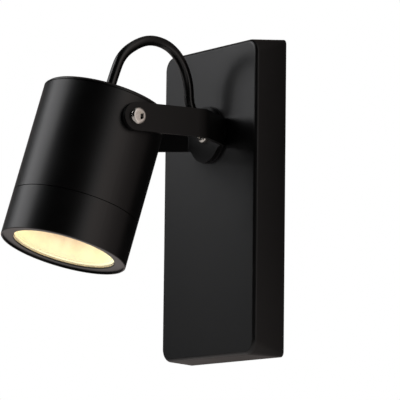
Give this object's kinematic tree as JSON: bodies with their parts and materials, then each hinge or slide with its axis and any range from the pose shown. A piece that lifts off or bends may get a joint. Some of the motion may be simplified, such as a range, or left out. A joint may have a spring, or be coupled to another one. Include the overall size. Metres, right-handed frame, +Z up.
{
  "type": "pivoting spotlight wall light",
  "caption": "Round spotlight head that tilts in a bent yoke, which swivels on a rectangular wall housing, with a free loop of flex from the head to the yoke's pad.",
  "frame": {"origin": "centre of the wall housing's back, on the wall plane, midway between the two wall screws", "axes": "+Y into the wall, +Z up, +X to the right seen from the room; the light stands out towards -Y"},
  "size_m": [0.0836, 0.1295, 0.1577],
  "materials": {
    "black_powder_coat": "satin black powder coat on cast aluminium",
    "black_coated_steel": "satin black powder coat on steel strip",
    "zinc_steel": "bright zinc plate",
    "stainless_steel": "turned stainless steel",
    "brass": "nickel-free brass",
    "black_rubber": "matt black rubber",
    "silicone": "translucent silicone",
    "black_nylon": "fine matt black nylon",
    "black_flex": "smooth glossy black sheath",
    "white_plastic": "translucent white polyamide",
    "brown_core": "brown wire insulation",
    "blue_core": "blue wire insulation",
    "green_core": "green and yellow wire insulation",
    "white_sleeve": "white heat-proof sleeving",
    "clear_glass": "clear toughened glass",
    "lamp_glass": "warm lit lens",
    "lamp_white": "glazed white lamp casing",
    "ceramic": "cream glazed ceramic"
  },
  "bodies": {
    "base": {"wall_housing": "black_powder_coat", "wall_gasket": "black_rubber", "mounting_bracket": "zinc_steel", "housing_fixing_screw": "stainless_steel", "terminal_block": "white_plastic", "terminal_screws": "brass", "earth_screw": "brass", "earth_lead": "green_core", "cord_grip": "black_nylon", "cord_grip_screws": "stainless_steel", "inner_flex": "black_flex", "live_core": "brown_core", "neutral_core": "blue_core", "earth_core": "green_core", "swivel_disc": "black_nylon", "swivel_screw": "stainless_steel", "swivel_spring_washer": "stainless_steel", "swivel_nut": "stainless_steel"},
    "yoke": {"yoke": "black_coated_steel", "pad_grommet": "black_rubber", "flex_cable": "black_flex"},
    "head": {"head_body": "black_powder_coat", "front_ring": "black_powder_coat", "ring_seal": "black_rubber", "glass_gasket": "silicone", "front_glass": "clear_glass", "lamp_body": "lamp_white", "lamp_lens": "lamp_glass", "lamp_pins": "brass", "lampholder": "ceramic", "holder_bracket": "zinc_steel", "holder_screws": "stainless_steel", "rear_cap": "black_powder_coat", "cap_seal": "black_rubber", "cable_gland": "black_nylon", "gland_nut": "black_nylon", "head_flex_end": "black_flex", "lamp_leads": "white_sleeve", "pivot_screws": "stainless_steel", "pivot_washers": "black_nylon"}
  },
  "joints": [
    {"name": "yoke_swivel", "type": "hinge", "parent": "base", "child": "yoke", "pos_m": [0, -0.0195, 0.0335], "axis": [0, -1, 0], "range_deg": [-60, 60], "deforming": ["inner_flex"]},
    {"name": "head_tilt", "type": "hinge", "parent": "yoke", "child": "head", "pos_m": [0, -0.0805, 0.0335], "axis": [-1, 0, 0], "range_deg": [-37, 73], "deforming": ["flex_cable"]}
  ]
}
